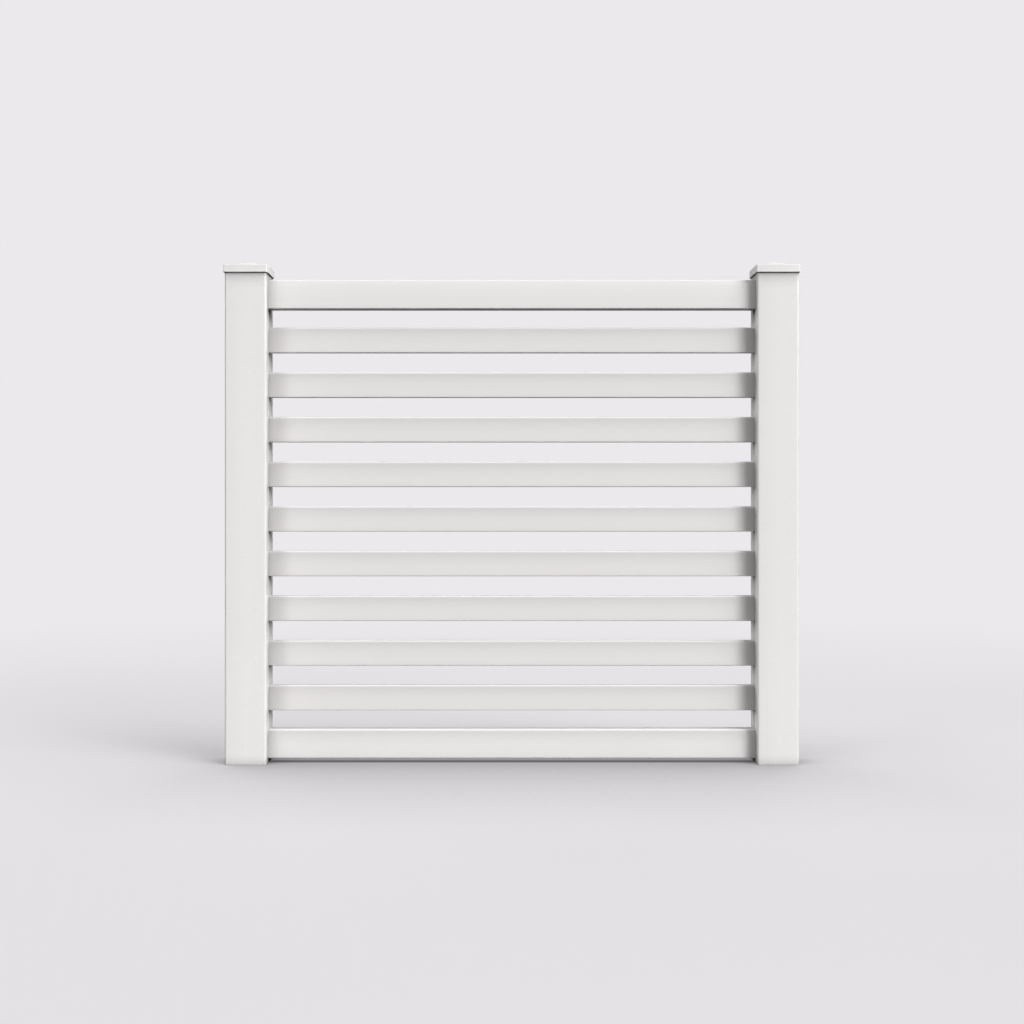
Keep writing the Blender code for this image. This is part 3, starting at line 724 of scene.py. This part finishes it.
floor_paper, tree, shader = new_material("studio_floor")
seen = add(tree, "LightPath").outputs["Is Camera Ray"]
tint = {"Factor": seen, "A": FLOOR_FOR_FENCE, "B": FLOOR_FOR_CAMERA}
tone = add(tree, "Mix", {"data_type": "RGBA"}, tint).outputs["Result"]
tree.links.new(tone, shader.inputs["Base Color"])
shader.inputs["Roughness"].default_value = FLOOR_ROUGHNESS
shader.inputs["Specular IOR Level"].default_value = 0.0
glow = add(tree, "Math", {"operation": "MULTIPLY"}, {0: seen, 1: FLOOR_GLOW}).outputs[0]
tree.links.new(glow, shader.inputs["Emission Strength"])
shader.inputs["Emission Color"].default_value = BACKGROUND
around = {"Distance": CONTACT_REACH}
room = add(tree, "AmbientOcclusion", {"samples": CONTACT_SAMPLES}, around).outputs["AO"]
contact = add(tree, "MapRange", inputs={"Value": room, "To Min": DARKEST_CONTACT}).outputs[0]
dark = add(tree, "Emission", inputs={"Strength": 0.0}).outputs[0]
ground = add(tree, "MixShader", inputs={"Fac": contact, 1: dark, 2: shader.outputs[0]}).outputs[0]
print("floor:", floor_paper.name)

# %% [markdown]
# A studio's paper floor curves up behind the object, so that no horizon shows. Here the floor stays flat
# and fades with distance into the colour of the background, which the world shows to the camera at full
# strength. For all other rays the world is nearly dark, so the lamps alone light the fence.

# %% Fade and world
FADE_START = 1.5
FADE_END = 7.0
WORLD_STRENGTH = 0.03

place = add(tree, "TexCoord").outputs["Object"]
distance = add(tree, "VectorMath", {"operation": "LENGTH"}, {"Vector": place}).outputs["Value"]
limits = {"Value": distance, "From Min": FADE_START, "From Max": FADE_END}
fade = add(tree, "MapRange", {"interpolation_type": "SMOOTHSTEP"}, limits).outputs["Result"]
haze = add(tree, "Emission", inputs={"Color": BACKGROUND, "Strength": seen}).outputs[0]
blend = add(tree, "MixShader", inputs={"Fac": fade, 1: ground, 2: haze}).outputs[0]
tree.links.new(blend, tree.nodes["Material Output"].inputs["Surface"])
floor_mesh.materials.append(floor_paper)

world = bpy.data.worlds.new("studio")
world.use_nodes = True
bpy.context.scene.world = world
tree = world.node_tree
seen = add(tree, "LightPath").outputs["Is Camera Ray"]
strength = add(tree, "MapRange", inputs={"Value": seen, "To Min": WORLD_STRENGTH}).outputs[0]
tree.links.new(strength, tree.nodes["Background"].inputs["Strength"])
tree.nodes["Background"].inputs["Color"].default_value = BACKGROUND
print(f"the floor fades from {FADE_START} to {FADE_END} m")

# %% [markdown]
# Two large soft boxes light the fence from the right front. A weaker one stands at the left front, and
# another hangs nearly overhead. Each is a far lamp with a wide disc, so its light is even along the fence.
# Together they bring a white face to about its written tone and leave the tops short of clipping. A narrow
# lamp at the right edges the posts. Two more light the back, and the low one at the left rear also reaches
# the inner face of the right post. They give no gloss, because their mirror image would blaze there.

# %% Lights
SOFT_DEGREES = 28
NARROW_DEGREES = 3


def soft_box(name, azimuth, elevation, level, spread=SOFT_DEGREES):
    """A far lamp. Azimuth 0 is in front of the fence and 90 at its right. Level 1 shows white as white."""
    lamp = bpy.data.lights.new(name, "SUN")
    lamp.energy = level * math.pi
    lamp.angle = math.radians(spread)
    box = bpy.data.objects.new(name, lamp)
    turn, rise = math.radians(azimuth), math.radians(elevation)
    towards = Vector((math.sin(turn) * math.cos(rise), -math.cos(turn) * math.cos(rise), math.sin(rise)))
    box.rotation_euler = towards.to_track_quat("Z", "Y").to_euler()
    bpy.context.scene.collection.objects.link(box)
    return box


soft_box("key", 40, 24, 0.67)
soft_box("right_front", 60, 44, 0.46)
soft_box("high_left", -48, 76, 0.19)
soft_box("left_front", -48, 18, 0.28)
soft_box("right_side", 91.5, 10, 0.11, spread=NARROW_DEGREES)
soft_box("right_rear", 160, 10, 0.38).visible_glossy = False
soft_box("left_rear", -145, 6, 0.6).visible_glossy = False
print("lamps:", len(bpy.data.lights))

# %% [markdown]
# The photo's perspective gives the camera: a normal 50 mm lens, 4.42 m away and 0.774 m above the floor,
# looking straight at the fence. The Standard view shows colours as they are written.

# %% Camera
CAMERA_DISTANCE = 4.4155
CAMERA_HEIGHT = 0.774
CAMERA_SHIFT = 0.6 * MILLIMETRE
LENS_MILLIMETRES = 50
SENSOR_MILLIMETRES = 36

camera_data = bpy.data.cameras.new("camera")
camera_data.lens = LENS_MILLIMETRES
camera_data.sensor_width = SENSOR_MILLIMETRES
camera = bpy.data.objects.new("camera", camera_data)
camera.location = (CAMERA_SHIFT, -CAMERA_DISTANCE, CAMERA_HEIGHT)
camera.rotation_euler = (math.pi / 2, 0, 0)
bpy.context.scene.collection.objects.link(camera)
bpy.context.scene.camera = camera
bpy.context.scene.view_settings.view_transform = "Standard"
print("camera at", tuple(round(value, 4) for value in camera.location))
